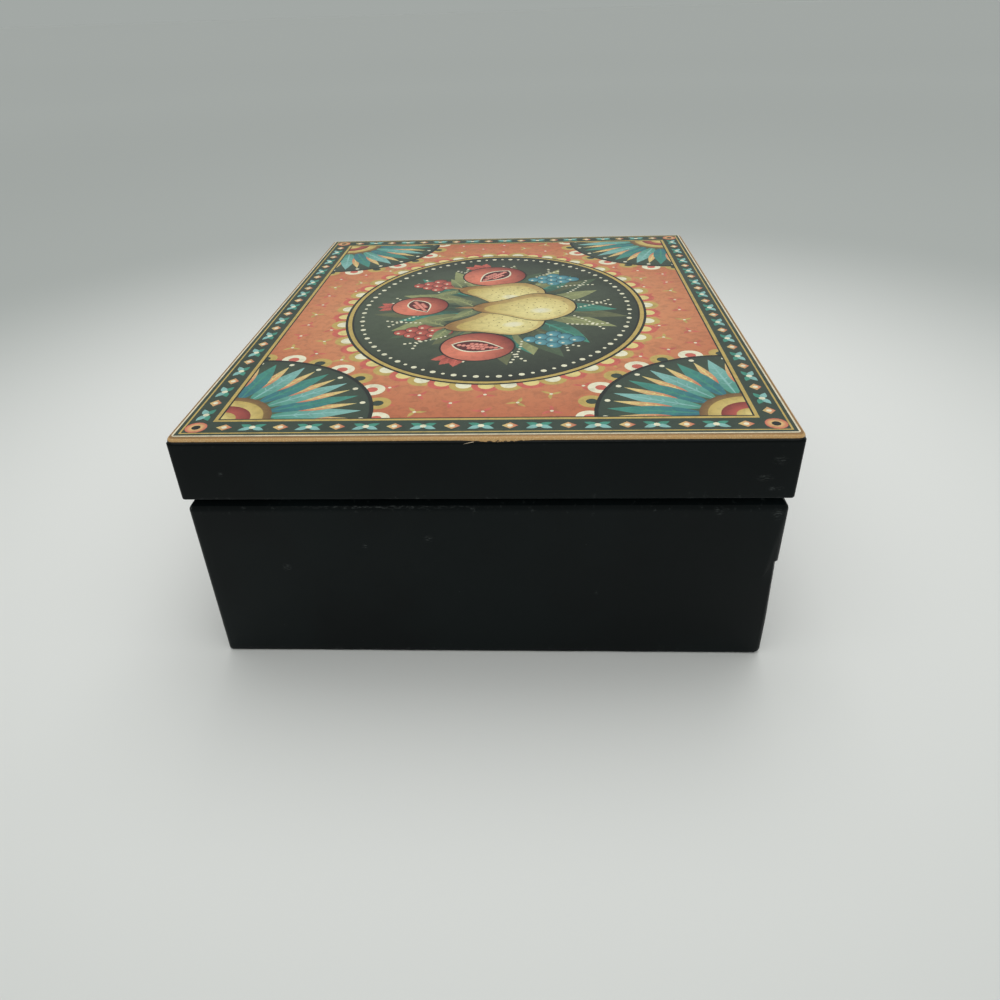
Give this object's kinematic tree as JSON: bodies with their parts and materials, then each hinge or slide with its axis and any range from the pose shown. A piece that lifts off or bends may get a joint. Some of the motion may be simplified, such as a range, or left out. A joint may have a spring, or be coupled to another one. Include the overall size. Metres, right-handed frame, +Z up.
{
  "type": "musical jewellery box",
  "caption": "Lacquered wooden jewellery box with a hinged picture lid, mirror, lined tray, ring rolls and a key-wound musical movement that the lid stops.",
  "frame": {"origin": "middle of the box's footprint, hinges included, on the surface that it stands on", "axes": "+X to the right along the long side, +Y to the back where the hinges are, +Z up"},
  "size_m": [0.178, 0.1498, 0.0665],
  "materials": {
    "black_lacquer": "black satin lacquer over wood",
    "gilt_edge": "gilt paint on a rounded edge",
    "print": "printed sheet under satin varnish",
    "velvet": "short velvet pile",
    "mirror_glass": "bevelled, silvered",
    "clear_cover": "polished clear sheet",
    "fibreboard": "bare fibreboard",
    "brass": "polished brass",
    "steel": "ground steel",
    "zinc": "plain zinc casting",
    "nylon": "moulded, satin"
  },
  "bodies": {
    "base": {"base_front_wall": "black_lacquer", "base_right_wall": "black_lacquer", "base_back_wall": "black_lacquer", "base_left_wall": "black_lacquer", "base_floor": "fibreboard", "lining_front": "velvet", "lining_right": "velvet", "lining_back": "velvet", "lining_left": "velvet", "floor_lining": "velvet", "partition_main": "velvet", "partition_side": "velvet", "divider_front": "velvet", "ring_roll_1": "velvet", "ring_roll_2": "velvet", "ring_roll_3": "velvet", "ring_roll_4": "velvet", "ring_roll_5": "velvet", "movement_cover": "clear_cover", "cover_ledge": "fibreboard", "hinge_left_lower_leaf": "brass", "hinge_left_pin": "brass", "hinge_right_lower_leaf": "brass", "hinge_right_pin": "brass", "bedplate": "zinc", "spring_barrel": "zinc", "mainspring": "steel", "comb": "steel", "comb_screw_1": "steel", "comb_screw_2": "steel", "governor_bracket": "steel", "movement_screw_1": "steel", "movement_screw_2": "steel", "plunger_guide": "brass", "stop_spring": "steel"},
    "lid": {"lid_front_rail": "black_lacquer", "lid_right_rail": "black_lacquer", "lid_back_rail": "black_lacquer", "lid_left_rail": "black_lacquer", "lid_board": "fibreboard", "picture_panel": "gilt_edge", "picture_sheet": "print", "mirror": "mirror_glass", "lid_lining_front": "velvet", "lid_lining_right": "velvet", "lid_lining_back": "velvet", "lid_lining_left": "velvet", "hinge_left_upper_leaf": "brass", "hinge_right_upper_leaf": "brass"},
    "winding": {"winding_key": "brass", "winding_arbor": "steel", "drive_wheel": "nylon"},
    "cylinder": {"music_cylinder": "brass", "cylinder_arbor": "steel", "great_wheel": "brass"},
    "idler": {"idler_arbor": "steel", "worm_wheel": "nylon"},
    "governor": {"governor_worm": "steel", "governor_fan": "nylon"},
    "plunger": {"stop_plunger": "nylon"}
  },
  "joints": [
    {"name": "lid_hinge", "type": "hinge", "parent": "base", "child": "lid", "pos_m": [0, 0.0731, 0.04935], "axis": [-1, 0, 0], "range_deg": [0, 100]},
    {"name": "cylinder_turn", "type": "hinge", "parent": "base", "child": "cylinder", "pos_m": [-0.0379, 0.0348, 0.03284], "axis": [1, 0, 0], "continuous": true},
    {"name": "key_turn", "type": "hinge", "parent": "base", "child": "winding", "pos_m": [-0.0626, 0.0348, 0.0161], "axis": [0, 0, 1], "continuous": true},
    {"name": "idler_turn", "type": "hinge", "parent": "base", "child": "idler", "pos_m": [-0.0219, 0.04346, 0.02784], "axis": [1, 0, 0], "continuous": true},
    {"name": "governor_spin", "type": "hinge", "parent": "base", "child": "governor", "pos_m": [-0.0219, 0.04996, 0.02784], "axis": [0, 0, 1], "continuous": true},
    {"name": "plunger_slide", "type": "slide", "parent": "base", "child": "plunger", "axis": [0, 0, 1], "range_m": [0, 0.003], "deforming": ["stop_spring"]}
  ],
  "couplings": [
    {"joint": "key_turn", "follows": "cylinder_turn", "ratio": 0.4},
    {"joint": "idler_turn", "follows": "cylinder_turn", "ratio": -3},
    {"joint": "governor_spin", "follows": "cylinder_turn", "ratio": 48},
    {"joint": "plunger_slide", "follows": "lid_hinge", "m_per_rad": 0.0017}
  ]
}
